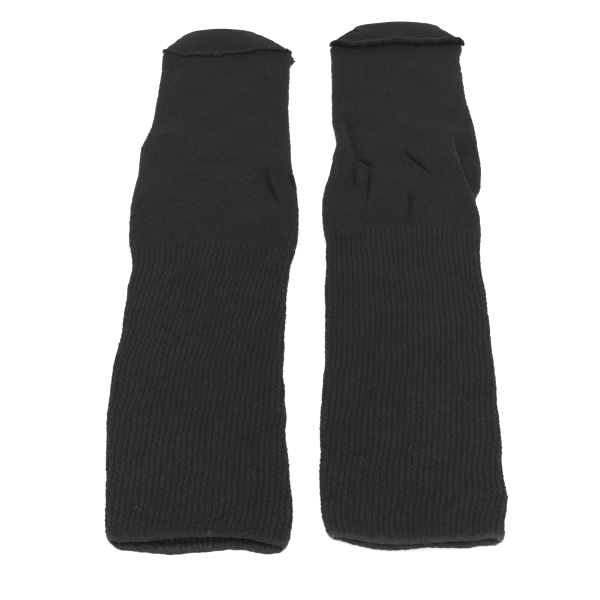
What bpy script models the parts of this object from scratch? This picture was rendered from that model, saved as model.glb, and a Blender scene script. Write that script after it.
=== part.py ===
# Pair of ribbed crew socks, laid flat side by side on a surface.
# Metres, +Z up. The surface is Z = 0, the cuffs point to -Y and the toes to +Y.
# Each sock is a flattened tube of knitted cloth: an outer wall, an inner wall and an open mouth.
# Stations run along a sock from its cuff, and "across" runs sideways from its own axis.

import math
from collections import namedtuple

import bmesh
import bpy

Section = namedtuple("Section", "station lean width height drift")
MouthRow = namedtuple("MouthRow", "across upper under")
SeamRow = namedtuple("SeamRow", "across station height")
RidgePoint = namedtuple("RidgePoint", "half lean height")
Fold = namedtuple("Fold", "across_1 station_1 across_2 station_2 depth reach kind")
Sock = namedtuple("Sock", "name axis rib_end rib_arch sections mouth seam folds tip")

# Knit
rib_count = 63                # raised ribs all round the leg
knots_per_rib = 2             # a valley and a crest
rib_height = 0.0008
rib_pitch = 0.003314          # from one rib to the next
wall = 0.0019                 # thickness of one layer of cloth
thin_wall = 0.0014            # the upper layer thins to this under a fold
fold_wall = 0.0027            # cloth at the side folds, measured sideways
least_gap = 0.0006            # narrowest room between the two layers
mouth_room = 0.0068           # room between the layers at the open cuff
narrow_room = 0.0032          # and from the calf to the toe
room_reach = 0.1100           # the mouth narrows over this length
welt = 0.008                  # plain turned edge at the cuff
welt_roll = 0.0010            # how far the rounded lip stands past the last ring

# Shape of a section
edge_share = 0.76             # height at the side folds, as a share of the middle's
fold_share = 0.62             # sideways radius of a side fold, as a share of its height
crown_power = 3.0
edge_room_share = 0.62        # room at the side folds, as a share of the middle's
fold_points = 14              # steps round a side fold
crown_points = 40             # and across the top
floor_fade_low = 0.0006       # ribs start above this height
floor_fade_high = 0.0024      # and are full from here
rib_start_fade = 0.0040
rib_end_fade = 0.0060
arch_half = 0.0520            # the ribs' far end arches over this half width
fold_end_share = 0.22         # share of a fold's length in which it fades out
mouth_reach = 0.030           # how far up the leg the lip's curve is felt

# Spacing of rings and points
lip_stations = (0.0, 0.0016, 0.0050, welt)
inner_lip_stations = (0.0, 0.0050)
rib_margin = 0.0030           # rings keep this far from the ribs' end
leg_ring = 0.0115
heel_ring = 0.0060
foot_ring = 0.0120
heel_end = 0.3240             # the pouch and its folds end here
foot_end = 0.3790             # the toe's own rows start past here
inner_end = 0.0065            # the inner wall stops this far short of the tip
underside_margin = 0.0020     # the flat underside's border keeps its points
under_step = 8                # knots between points on the flat underside
heel_step = 2                 # knots between points on the heel, where the folds are
plain_step = 3                # knots between points on the rest of the plain knit
inner_step = 4                # knots between points on the inner wall
inner_leg_ring = 0.0230
tip_bulge = 0.0012            # the inner wall's round end
tip_rise = 0.45               # the tip's height, as a share of the last section's

# Toe seam
seam_gap = 0.0005             # clear of the panel it is sewn to
seam_half = 0.0011            # half its thickness at the root
scallop = 0.00035             # the ridge wanders and swells along its length
scallop_length = 0.0125
swell = 0.08
swell_length = 0.0213
seam_passes = 3               # rounds in which the seam's line and its section settle
side_turns = 5                # rings of the ridge on each side fold
crown_turns = 34              # and between them
# The ridge seen from its end, from its near root to its far one. It lies over towards the toe:
# half is a share of seam_half, lean and height are shares of the ridge's height.
ridge = (
    RidgePoint(half=-1.00, lean=0.00, height=0.00),
    RidgePoint(half=-1.00, lean=0.04, height=0.55),
    RidgePoint(half=-0.60, lean=0.12, height=0.94),
    RidgePoint(half=0.10, lean=0.40, height=1.00),
    RidgePoint(half=0.60, lean=0.80, height=0.84),
    RidgePoint(half=0.90, lean=0.98, height=0.52),
    RidgePoint(half=1.00, lean=0.50, height=0.22),
    RidgePoint(half=1.00, lean=0.00, height=0.00),
)

pair_cuff = -0.2127           # where station 0 lies, so that the origin is under the pair's middle
knot_count = rib_count * knots_per_rib
leg_round = rib_count * rib_pitch

left_sections = (
    Section(station=0.000, lean=0.0025, width=0.0990, height=0.0106, drift=0.0000),
    Section(station=0.012, lean=0.0024, width=0.1030, height=0.0104, drift=0.0014),
    Section(station=0.040, lean=0.0007, width=0.1043, height=0.0096, drift=0.0048),
    Section(station=0.088, lean=-0.0027, width=0.1045, height=0.0082, drift=0.0105),
    Section(station=0.136, lean=-0.0018, width=0.1012, height=0.0078, drift=0.0153),
    Section(station=0.172, lean=-0.0005, width=0.1026, height=0.0077, drift=0.0202),
    Section(station=0.196, lean=0.0012, width=0.1054, height=0.0077, drift=0.0222),
    Section(station=0.210, lean=0.0010, width=0.1113, height=0.0080, drift=0.0230),
    Section(station=0.232, lean=0.0008, width=0.1140, height=0.0086, drift=0.0230),
    Section(station=0.256, lean=0.0006, width=0.1116, height=0.0088, drift=0.0230),
    Section(station=0.280, lean=-0.0012, width=0.1068, height=0.0082, drift=0.0230),
    Section(station=0.294, lean=-0.0010, width=0.1060, height=0.0078, drift=0.0230),
    Section(station=0.304, lean=-0.0002, width=0.1031, height=0.0075, drift=0.0230),
    Section(station=0.316, lean=0.0011, width=0.0990, height=0.0072, drift=0.0230),
    Section(station=0.344, lean=0.0018, width=0.0971, height=0.0068, drift=0.0230),
    Section(station=0.376, lean=0.0025, width=0.0969, height=0.0070, drift=0.0230),
    Section(station=0.387, lean=0.0024, width=0.0955, height=0.0073, drift=0.0230),
    Section(station=0.396, lean=0.0024, width=0.0928, height=0.0073, drift=0.0230),
    Section(station=0.403, lean=0.0012, width=0.0832, height=0.0070, drift=0.0230),
    Section(station=0.410, lean=-0.0007, width=0.0696, height=0.0065, drift=0.0230),
    Section(station=0.4165, lean=-0.0024, width=0.0533, height=0.0056, drift=0.0230),
    Section(station=0.4200, lean=-0.0025, width=0.0396, height=0.0046, drift=0.0230),
    Section(station=0.4214, lean=-0.0030, width=0.0270, height=0.0038, drift=0.0230),
)

right_sections = (
    Section(station=0.000, lean=-0.0060, width=0.0955, height=0.0104, drift=0.0000),
    Section(station=0.012, lean=-0.0064, width=0.0998, height=0.0102, drift=0.0009),
    Section(station=0.028, lean=-0.0057, width=0.1053, height=0.0098, drift=0.0028),
    Section(station=0.052, lean=-0.0059, width=0.1043, height=0.0091, drift=0.0058),
    Section(station=0.088, lean=-0.0048, width=0.1045, height=0.0082, drift=0.0088),
    Section(station=0.124, lean=-0.0028, width=0.1026, height=0.0078, drift=0.0105),
    Section(station=0.160, lean=-0.0022, width=0.1028, height=0.0077, drift=0.0116),
    Section(station=0.190, lean=-0.0023, width=0.1006, height=0.0077, drift=0.0110),
    Section(station=0.208, lean=-0.0014, width=0.1018, height=0.0079, drift=0.0102),
    Section(station=0.232, lean=-0.0013, width=0.1066, height=0.0085, drift=0.0102),
    Section(station=0.246, lean=-0.0014, width=0.1054, height=0.0088, drift=0.0102),
    Section(station=0.256, lean=0.0011, width=0.1068, height=0.0089, drift=0.0102),
    Section(station=0.268, lean=0.0035, width=0.1057, height=0.0089, drift=0.0102),
    Section(station=0.280, lean=0.0050, width=0.1040, height=0.0089, drift=0.0102),
    Section(station=0.296, lean=0.0059, width=0.1015, height=0.0088, drift=0.0102),
    Section(station=0.308, lean=0.0061, width=0.1004, height=0.0085, drift=0.0102),
    Section(station=0.318, lean=0.0052, width=0.1015, height=0.0080, drift=0.0102),
    Section(station=0.340, lean=0.0038, width=0.0994, height=0.0072, drift=0.0102),
    Section(station=0.364, lean=0.0036, width=0.0982, height=0.0070, drift=0.0102),
    Section(station=0.388, lean=0.0034, width=0.0984, height=0.0074, drift=0.0102),
    Section(station=0.398, lean=0.0050, width=0.1004, height=0.0076, drift=0.0102),
    Section(station=0.408, lean=0.0065, width=0.0956, height=0.0073, drift=0.0102),
    Section(station=0.415, lean=0.0066, width=0.0832, height=0.0069, drift=0.0102),
    Section(station=0.420, lean=0.0068, width=0.0720, height=0.0063, drift=0.0102),
    Section(station=0.425, lean=0.0069, width=0.0638, height=0.0054, drift=0.0102),
    Section(station=0.4286, lean=0.0097, width=0.0455, height=0.0044, drift=0.0102),
    Section(station=0.4301, lean=0.0098, width=0.0310, height=0.0036, drift=0.0102),
)

# The lip of each mouth in plan, for the upper layer and for the one under it
left_mouth = (
    MouthRow(across=-0.0480, upper=0.0045, under=0.0040),
    MouthRow(across=-0.0401, upper=0.0020, under=-0.0007),
    MouthRow(across=-0.0336, upper=0.0016, under=-0.0013),
    MouthRow(across=-0.0245, upper=0.0012, under=-0.0026),
    MouthRow(across=-0.0127, upper=0.0029, under=-0.0036),
    MouthRow(across=-0.0010, upper=0.0035, under=-0.0030),
    MouthRow(across=0.0128, upper=0.0035, under=-0.0019),
    MouthRow(across=0.0226, upper=0.0033, under=-0.0010),
    MouthRow(across=0.0320, upper=0.0033, under=-0.0015),
    MouthRow(across=0.0400, upper=0.0024, under=-0.0031),
    MouthRow(across=0.0460, upper=0.0018, under=-0.0024),
    MouthRow(across=0.0520, upper=0.0030, under=0.0004),
)
right_mouth = (
    MouthRow(across=-0.0540, upper=0.0062, under=0.0078),
    MouthRow(across=-0.0475, upper=0.0048, under=0.0051),
    MouthRow(across=-0.0410, upper=0.0034, under=0.0027),
    MouthRow(across=-0.0360, upper=0.0024, under=0.0014),
    MouthRow(across=-0.0300, upper=0.0010, under=-0.0002),
    MouthRow(across=-0.0220, upper=0.0000, under=-0.0008),
    MouthRow(across=-0.0120, upper=0.0002, under=-0.0007),
    MouthRow(across=-0.0010, upper=0.0012, under=0.0002),
    MouthRow(across=0.0090, upper=0.0020, under=0.0002),
    MouthRow(across=0.0200, upper=0.0028, under=0.0000),
    MouthRow(across=0.0280, upper=0.0031, under=0.0014),
    MouthRow(across=0.0360, upper=0.0036, under=0.0016),
    MouthRow(across=0.0430, upper=0.0052, under=0.0056),
)

# The overlocked toe seam: where it runs and how high its ridge stands
left_seam = (
    SeamRow(across=-0.0455, station=0.3938, height=0.0013),
    SeamRow(across=-0.0395, station=0.3920, height=0.0014),
    SeamRow(across=-0.0337, station=0.3884, height=0.0016),
    SeamRow(across=-0.0290, station=0.3869, height=0.0017),
    SeamRow(across=-0.0180, station=0.3870, height=0.0018),
    SeamRow(across=-0.0060, station=0.3865, height=0.0018),
    SeamRow(across=0.0040, station=0.3880, height=0.0018),
    SeamRow(across=0.0141, station=0.3895, height=0.0019),
    SeamRow(across=0.0242, station=0.3921, height=0.0020),
    SeamRow(across=0.0326, station=0.3938, height=0.0020),
    SeamRow(across=0.0390, station=0.3931, height=0.0018),
    SeamRow(across=0.0453, station=0.3935, height=0.0016),
    SeamRow(across=0.0500, station=0.3930, height=0.0014),
)
right_seam = (
    SeamRow(across=-0.0458, station=0.4008, height=0.0022),
    SeamRow(across=-0.0390, station=0.3994, height=0.0030),
    SeamRow(across=-0.0320, station=0.3956, height=0.0035),
    SeamRow(across=-0.0187, station=0.3953, height=0.0036),
    SeamRow(across=-0.0067, station=0.3969, height=0.0037),
    SeamRow(across=0.0028, station=0.3988, height=0.0038),
    SeamRow(across=0.0110, station=0.3991, height=0.0038),
    SeamRow(across=0.0205, station=0.3975, height=0.0037),
    SeamRow(across=0.0326, station=0.3994, height=0.0036),
    SeamRow(across=0.0411, station=0.4004, height=0.0036),
    SeamRow(across=0.0500, station=0.4024, height=0.0034),
    SeamRow(across=0.0555, station=0.4026, height=0.0032),
)

# The largest folds: a trough is a soft groove, a step drops the cloth to the fold's +X side
left_folds = (
    Fold(across_1=0.0334, station_1=0.2760, across_2=0.0443, station_2=0.2420,
         depth=0.0026, reach=0.0030, kind="trough"),
    Fold(across_1=-0.0380, station_1=0.2720, across_2=0.0230, station_2=0.2770,
         depth=0.0006, reach=0.0070, kind="trough"),
)
right_folds = (
    Fold(across_1=-0.0378, station_1=0.3210, across_2=-0.0290, station_2=0.2790,
         depth=0.0018, reach=0.0034, kind="trough"),
    Fold(across_1=-0.0310, station_1=0.2820, across_2=-0.0165, station_2=0.2695,
         depth=0.0024, reach=0.0028, kind="trough"),
    Fold(across_1=-0.0308, station_1=0.2770, across_2=-0.0314, station_2=0.2500,
         depth=0.0016, reach=0.0026, kind="trough"),
    Fold(across_1=-0.0212, station_1=0.2710, across_2=-0.0252, station_2=0.2400,
         depth=0.0018, reach=0.0026, kind="trough"),
    Fold(across_1=0.0020, station_1=0.2870, across_2=0.0207, station_2=0.2655,
         depth=0.0028, reach=0.0028, kind="trough"),
    Fold(across_1=0.0058, station_1=0.2500, across_2=0.0040, station_2=0.2260,
         depth=0.0012, reach=0.0034, kind="trough"),
    Fold(across_1=0.0355, station_1=0.3180, across_2=0.0512, station_2=0.2400,
         depth=0.0028, reach=0.0016, kind="step"),
)

socks = (
    Sock(name="left", axis=-0.0653, rib_end=0.2015, rib_arch=0.0050, sections=left_sections,
         mouth=left_mouth, seam=left_seam, folds=left_folds, tip=0.4222),
    Sock(name="right", axis=0.0627, rib_end=0.2110, rib_arch=0.0075, sections=right_sections,
         mouth=right_mouth, seam=right_seam, folds=right_folds, tip=0.4310),
)


def clear_scene():
    for thing in list(bpy.data.objects):
        bpy.data.objects.remove(thing, do_unlink=True)


def ease(value):
    # 0 below 0, 1 above 1 and a smooth rise between
    value = min(1.0, max(0.0, value))
    return value * value * (3.0 - 2.0 * value)


def read_rows(rows, key, column, place):
    # Smooth curve through one column of a table, held level past its ends
    at = [getattr(row, key) for row in rows]
    value = [getattr(row, column) for row in rows]
    if place <= at[0]:
        return value[0]
    if place >= at[-1]:
        return value[-1]
    first = max(i for i in range(len(at) - 1) if at[i] <= place)

    def slope(i):
        low = max(0, i - 1)
        high = min(len(at) - 1, i + 1)
        return (value[high] - value[low]) / (at[high] - at[low])

    span = at[first + 1] - at[first]
    t = (place - at[first]) / span
    return (value[first] * (2 * t ** 3 - 3 * t ** 2 + 1)
            + span * slope(first) * (t ** 3 - 2 * t ** 2 + t)
            + value[first + 1] * (3 * t ** 2 - 2 * t ** 3)
            + span * slope(first + 1) * (t ** 3 - t ** 2))


def fold_depth(sock, across, station):
    # How far the folds lower the upper layer at one place
    total = 0.0
    for fold in sock.folds:
        run_across = fold.across_2 - fold.across_1
        run_station = fold.station_2 - fold.station_1
        length = math.hypot(run_across, run_station)
        from_across = across - fold.across_1
        from_station = station - fold.station_1
        forward = (from_across * run_across + from_station * run_station) / length
        aside = (from_station * run_across - from_across * run_station) / length
        fade = fold_end_share * length
        end_fade = ease(forward / fade) * ease((length - forward) / fade)
        if fold.kind == "trough":
            total += fold.depth * end_fade * math.exp(-(aside / fold.reach) ** 2)
        else:
            total += fold.depth * end_fade * ease(0.5 + 0.5 * aside / fold.reach)
    return total


def section_line(half_width, edge_height, height):
    # Outline of one section, counter-clockwise from the middle of its flat underside:
    # a level bottom, a rounded side fold, a crowned top and the other fold
    radius = fold_share * edge_height
    flat = half_width - radius
    line = [(0.0, 0.0), (flat, 0.0)]
    for i in range(1, fold_points + 1):
        turn = math.pi * i / fold_points - math.pi / 2
        line.append((flat + radius * math.cos(turn), edge_height / 2 * (1 + math.sin(turn))))
    for i in range(1, crown_points):
        share = 1 - 2 * i / crown_points
        rise = (height - edge_height) * (1 - abs(share) ** crown_power)
        line.append((flat * share, edge_height + rise))
    line += [(-x, z) for x, z in reversed(line[1:fold_points + 2])]
    line.append((0.0, 0.0))
    return line


def walk_line(line, share):
    # Point and outward normal at a share of the outline's length
    lengths = [math.dist(line[i], line[i + 1]) for i in range(len(line) - 1)]
    left = (share % 1.0) * sum(lengths)
    i = 0
    while left > lengths[i] and i < len(lengths) - 1:
        left -= lengths[i]
        i += 1
    step = left / lengths[i]
    x = line[i][0] + (line[i + 1][0] - line[i][0]) * step
    z = line[i][1] + (line[i + 1][1] - line[i][1]) * step
    normal_x = (line[i + 1][1] - line[i][1]) / lengths[i]
    normal_z = (line[i][0] - line[i + 1][0]) / lengths[i]
    return x, z, normal_x, normal_z


def outer_line(sock, station):
    width = read_rows(sock.sections, "station", "width", station)
    height = read_rows(sock.sections, "station", "height", station)
    return section_line(width / 2, height * edge_share, height)


def rooms(sock, station):
    # Room between the layers in the middle and at the side folds.
    # Where the flat sock is high, as at the heel, the upper layer's cloth is doubled up.
    height = read_rows(sock.sections, "station", "height", station)
    widest = mouth_room + (narrow_room - mouth_room) * ease(station / room_reach)
    middle = max(least_gap, min(height - 2 * wall, widest))
    edge = max(least_gap, min(height * edge_share - 2 * wall, middle * edge_room_share))
    return middle, edge


def inner_line(sock, station):
    width = read_rows(sock.sections, "station", "width", station)
    middle, edge = rooms(sock, station)
    return section_line(width / 2 - fold_wall, edge, middle)


def knot_share(sock, station, knot):
    # The ribs drift round the tube on their way up the leg
    drift = read_rows(sock.sections, "station", "drift", station)
    return knot / knot_count - drift / leg_round


def lip_shift(sock, station, across, rise):
    # The lip curves in plan, and the layer under it stands out further
    fade = max(0.0, 1 - station / mouth_reach) ** 2
    upper = read_rows(sock.mouth, "across", "upper", across)
    under = read_rows(sock.mouth, "across", "under", across)
    return fade * (under + (upper - under) * min(1.0, rise))


def place(sock, station, x, z, rise):
    # Point of the section, moved to where the sock lies
    across = x + read_rows(sock.sections, "station", "lean", station)
    along = station + lip_shift(sock, station, across, rise)
    return (sock.axis + across, pair_cuff + along, z)


def ribbing(sock, station, across, z):
    # Share of the ribs' full height: none on the welt, the foot and the underside
    end = sock.rib_end + sock.rib_arch * (1 - (across / arch_half) ** 2)
    start_fade = ease((station - welt) / rib_start_fade)
    end_fade = ease((end - station) / rib_end_fade + 0.5)
    floor_fade = ease((z - floor_fade_low) / (floor_fade_high - floor_fade_low))
    return start_fade * end_fade * floor_fade


def outer_point(sock, station, knot, line):
    x, z, normal_x, normal_z = walk_line(line, knot_share(sock, station, knot))
    height = read_rows(sock.sections, "station", "height", station)
    across = x + read_rows(sock.sections, "station", "lean", station)
    rise = z / height
    crest = knot % knots_per_rib
    lift = crest * rib_height * ribbing(sock, station, across, z)
    sink = fold_depth(sock, across, station) * ease(rise / edge_share)
    return place(sock, station, x + normal_x * lift, z + normal_z * lift - sink, rise)


def inner_point(sock, station, knot, line):
    x, z, _, _ = walk_line(line, knot_share(sock, station, knot))
    height = read_rows(sock.sections, "station", "height", station)
    across = x + read_rows(sock.sections, "station", "lean", station)
    edge = rooms(sock, station)[1]
    spare = max(0.0, height * edge_share - wall - edge - thin_wall)
    drop = max(0.0, fold_depth(sock, across, station) - spare) * ease(z / edge)
    if z > least_gap:
        drop = min(drop, z - least_gap)
    return place(sock, station, x, wall + z - drop, (wall + z) / height)


def outer_knots(sock, station, line):
    # Every valley and crest on the ribbed leg, fewer on plain knit, few on the flat underside
    if welt < station < sock.rib_end + sock.rib_arch:
        cloth_step = 1
    elif sock.rib_end < station < heel_end:
        cloth_step = heel_step
    else:
        cloth_step = plain_step
    flat = line[1][0]
    knots = []
    for knot in range(knot_count):
        x, z, _, _ = walk_line(line, knot_share(sock, station, knot))
        on_underside = z <= 0.0 and abs(x) < flat - underside_margin
        step = under_step if on_underside else cloth_step
        if knot % step == 0 or knot == 0:
            knots.append(knot)
    return knots


def join_rings(shell, ring, following):
    # Skin between two rings of unequal counts, matched by their knots
    near = ring + [(knot_count, ring[0][1])]
    far = following + [(knot_count, following[0][1])]
    i = 0
    j = 0
    while i < len(near) - 1 or j < len(far) - 1:
        near_next = near[i + 1][0] if i < len(near) - 1 else math.inf
        far_next = far[j + 1][0] if j < len(far) - 1 else math.inf
        if near_next <= far_next:
            shell.faces.new((near[i][1], near[i + 1][1], far[j][1]))
            i += 1
        if far_next <= near_next:
            shell.faces.new((near[i][1], far[j + 1][1], far[j][1]))
            j += 1


def steps(start, stop, spacing):
    count = max(1, round((stop - start) / spacing))
    return [start + (stop - start) * i / count for i in range(count + 1)]


def outer_stations(sock):
    leg = steps(welt + rib_start_fade, sock.rib_end - rib_margin, leg_ring)
    heel = steps(sock.rib_end + rib_margin, heel_end, heel_ring)
    foot = steps(heel_end, foot_end, foot_ring)[1:]
    toe = [row.station for row in sock.sections if row.station > foot_end]
    return list(lip_stations) + leg + heel + foot + toe


def inner_stations(sock):
    leg = steps(welt + rib_start_fade, sock.rib_end, inner_leg_ring)
    heel = steps(sock.rib_end + heel_ring, heel_end, heel_ring)
    foot = steps(heel_end, sock.tip - inner_end, 2 * foot_ring)[1:]
    return list(inner_lip_stations) + leg + heel + foot


def make_material(name, colour, roughness):
    material = bpy.data.materials.new(name)
    material.use_nodes = True
    shader = material.node_tree.nodes["Principled BSDF"]
    shader.inputs["Base Color"].default_value = (*colour, 1.0)
    shader.inputs["Roughness"].default_value = roughness
    shader.inputs["Metallic"].default_value = 0.0
    return material


def add_object(name, shell, material):
    mesh = bpy.data.meshes.new(name)
    shell.to_mesh(mesh)
    shell.free()
    mesh.materials.append(material)
    mesh.shade_smooth()
    mesh.set_sharp_from_angle(angle=math.radians(35))
    thing = bpy.data.objects.new(name, mesh)
    bpy.context.scene.collection.objects.link(thing)
    return thing


def make_sock(sock, material):
    # The wall is one skin: from the toe's outside to the lip, over it, and back inside to the toe
    shell = bmesh.new()
    rings = []
    for station in reversed(outer_stations(sock)):
        line = outer_line(sock, station)
        rings.append([(knot, shell.verts.new(outer_point(sock, station, knot, line)))
                      for knot in outer_knots(sock, station, line)])
    outside = outer_line(sock, 0.0)
    inside = inner_line(sock, 0.0)
    lip_ring = []
    for knot in range(0, knot_count, inner_step):
        outer = outer_point(sock, 0.0, knot, outside)
        inner = inner_point(sock, 0.0, knot, inside)
        middle = [(a + b) / 2 for a, b in zip(outer, inner)]
        middle[1] -= welt_roll
        lip_ring.append((knot, shell.verts.new(middle)))
    rings.append(lip_ring)
    for station in inner_stations(sock):
        line = inner_line(sock, station)
        rings.append([(knot, shell.verts.new(inner_point(sock, station, knot, line)))
                      for knot in range(0, knot_count, inner_step)])
    for ring, following in zip(rings, rings[1:]):
        join_rings(shell, ring, following)
    last = sock.sections[-1]
    outer_tip = shell.verts.new((sock.axis + last.lean, pair_cuff + sock.tip, last.height * tip_rise))
    inner_reach = sock.tip - inner_end
    inner_tip = shell.verts.new(
        (sock.axis + read_rows(sock.sections, "station", "lean", inner_reach),
         pair_cuff + inner_reach + tip_bulge, wall + least_gap / 2))
    close_end(shell, outer_tip, rings[0], True)
    close_end(shell, inner_tip, rings[-1], False)
    return add_object("sock_" + sock.name, shell, material)


def close_end(shell, tip, ring, starts):
    verts = [vert for _, vert in ring]
    for one, two in zip(verts, verts[1:] + verts[:1]):
        shell.faces.new((tip, two, one) if starts else (one, two, tip))


def make_seam(sock, material):
    # The ridge follows the upper panel's own section, from one side fold over to the other
    shell = bmesh.new()
    rings = []
    for turn in range(2 * side_turns + crown_turns + 1):
        station = sock.seam[0].station
        for _ in range(seam_passes):
            line = outer_line(sock, station)
            x, z, normal_x, normal_z = walk_line(line, seam_share(line, turn))
            across = x + read_rows(sock.sections, "station", "lean", station)
            station = read_rows(sock.seam, "across", "station", across)
        station += scallop * math.sin(2 * math.pi * across / scallop_length)
        height = read_rows(sock.seam, "across", "height", across)
        height *= 1 + swell * math.sin(2 * math.pi * across / swell_length)
        ring = []
        for point in ridge:
            forward = point.half * seam_half + point.lean * height
            away = seam_gap + point.height * height
            where = (sock.axis + across + normal_x * away, pair_cuff + station + forward,
                     z + normal_z * away)
            ring.append(shell.verts.new(where))
        rings.append(ring)
    for ring, following in zip(rings, rings[1:]):
        for j in range(len(ring)):
            k = (j + 1) % len(ring)
            shell.faces.new((ring[j], following[j], following[k], ring[k]))
    shell.faces.new(rings[0])
    shell.faces.new(list(reversed(rings[-1])))
    bmesh.ops.recalc_face_normals(shell, faces=shell.faces[:])
    bmesh.ops.triangulate(shell, faces=shell.faces[:])
    return add_object("toe_seam_" + sock.name, shell, material)


def seam_share(line, turn):
    # Share of the outline's length for one ring of the ridge, from mid-fold to mid-fold
    lengths = [0.0]
    for one, two in zip(line, line[1:]):
        lengths.append(lengths[-1] + math.dist(one, two))
    middle_right = lengths[1 + fold_points // 2]
    top_right = lengths[1 + fold_points]
    top_left = lengths[-1] - top_right
    middle_left = lengths[-1] - middle_right
    if turn <= side_turns:
        reach = middle_right + (top_right - middle_right) * turn / side_turns
    elif turn <= side_turns + crown_turns:
        reach = top_right + (top_left - top_right) * (turn - side_turns) / crown_turns
    else:
        past = turn - side_turns - crown_turns
        reach = top_left + (middle_left - top_left) * past / side_turns
    return reach / lengths[-1]


def main():
    clear_scene()
    knit = make_material("charcoal_knit", (0.028, 0.028, 0.030), 0.92)
    thread = make_material("overlock_thread", (0.040, 0.040, 0.042), 0.88)
    for sock in socks:
        make_sock(sock, knit)
        make_seam(sock, thread)


main()
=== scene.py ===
import math

import bmesh
import bpy
import numpy as np
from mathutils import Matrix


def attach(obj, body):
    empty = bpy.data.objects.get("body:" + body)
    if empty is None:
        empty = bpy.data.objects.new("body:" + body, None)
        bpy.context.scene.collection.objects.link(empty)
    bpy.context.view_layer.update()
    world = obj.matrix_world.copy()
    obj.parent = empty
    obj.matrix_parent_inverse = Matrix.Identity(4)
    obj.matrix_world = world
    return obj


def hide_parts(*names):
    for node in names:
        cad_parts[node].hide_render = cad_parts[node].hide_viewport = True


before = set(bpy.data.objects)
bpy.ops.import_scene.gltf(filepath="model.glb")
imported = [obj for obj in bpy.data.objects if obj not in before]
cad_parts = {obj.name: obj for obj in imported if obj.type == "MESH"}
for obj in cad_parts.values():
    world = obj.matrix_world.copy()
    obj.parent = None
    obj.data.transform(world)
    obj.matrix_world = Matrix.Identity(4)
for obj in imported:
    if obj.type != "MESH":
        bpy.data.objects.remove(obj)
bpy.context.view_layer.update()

print("packed solids loaded")

# Metres, +Z up, the cuffs towards -Y and the toes towards +Y.
# Stations run along a sock from its cuff, "across" runs sideways from its own axis,
# and "round" runs about the tube with the knit, so that it stays with the same rib.

studio = {
    "cameraAt": (-0.0068, -0.42082, 0.53258),
    "cameraTilt": 35.0,  # degrees from straight down
    "lens": 60.9,  # on a 36 mm sensor
    "floorSize": 8.0, "floorDrop": 0.0002, "floorColour": "#f4f4f3", "floorGlow": 0.45,
    "skyColour": "#ffffff", "skyStrength": 0.98,
    "softboxAt": (0.15, 0.35, 1.85), "softboxSide": 1.4, "softboxWatts": 18.0,
}


def toLinear(hexColour):
    parts = [int(hexColour[i:i + 2], 16) / 255 for i in (1, 3, 5)]
    return tuple(part / 12.92 if part <= 0.04045 else ((part + 0.055) / 1.055) ** 2.4
                 for part in parts) + (1.0,)


def addNode(tree, kind, inputs=None, **settings):
    # A node with its settings, its fixed values or hex colours, and its links
    node = tree.nodes.new("ShaderNode" + kind)
    for name, value in settings.items():
        setattr(node, name, value)
    for socket, value in (inputs or {}).items():
        if isinstance(value, bpy.types.NodeSocket):
            tree.links.new(value, node.inputs[socket])
        else:
            if isinstance(value, str):
                value = toLinear(value)
            node.inputs[socket].default_value = value
    return node


def sumNode(tree, operation, *values):
    return addNode(tree, "Math", dict(enumerate(values)), operation=operation).outputs[0]


def spreadNode(tree, value, low, high, least=0.0, most=1.0, kind="LINEAR"):
    # The value from low to high, spread from least to most
    return addNode(tree, "MapRange",
                   {"Value": value, "From Min": low, "From Max": high, "To Min": least,
                    "To Max": most}, interpolation_type=kind).outputs["Result"]


def blendNode(tree, share, first, second):
    return addNode(tree, "Mix", {0: share, 2: first, 3: second}).outputs[0]


def blendColours(tree, share, first, second):
    return addNode(tree, "Mix", {0: share, 6: first, 7: second}, data_type="RGBA").outputs[2]


def noiseNode(tree, place, size, detail, rough):
    return addNode(tree, "TexNoise",
                   {"Vector": place, "Scale": 1 / size, "Detail": detail,
                    "Roughness": rough}).outputs["Fac"]


def readLayer(tree, name):
    return addNode(tree, "Attribute", attribute_name=name).outputs["Fac"]


def scaleColour(tree, colour, share):
    return addNode(tree, "VectorMath", {0: colour, "Scale": share}, operation="SCALE").outputs[0]


def finishFabric(tree, values, colour, height):
    # Matt yarn with a short nap that shows where the cloth turns away from the eye
    bump = addNode(tree, "Bump", {"Height": height, "Distance": values["bump"], "Strength": 1.0})
    shader = addNode(tree, "BsdfPrincipled",
                     {"Base Color": colour, "Roughness": values["roughness"],
                      "Specular IOR Level": 0.25, "Sheen Weight": values["sheen"],
                      "Sheen Roughness": values["sheenRoughness"],
                      "Sheen Tint": values["sheenTint"],
                      "Normal": bump.outputs["Normal"]})
    addNode(tree, "OutputMaterial", {"Surface": shader.outputs["BSDF"]})


def startMaterial(name):
    material = bpy.data.materials.new(name)
    material.use_nodes = True
    tree = material.node_tree
    tree.nodes.clear()
    return material, tree


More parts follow.
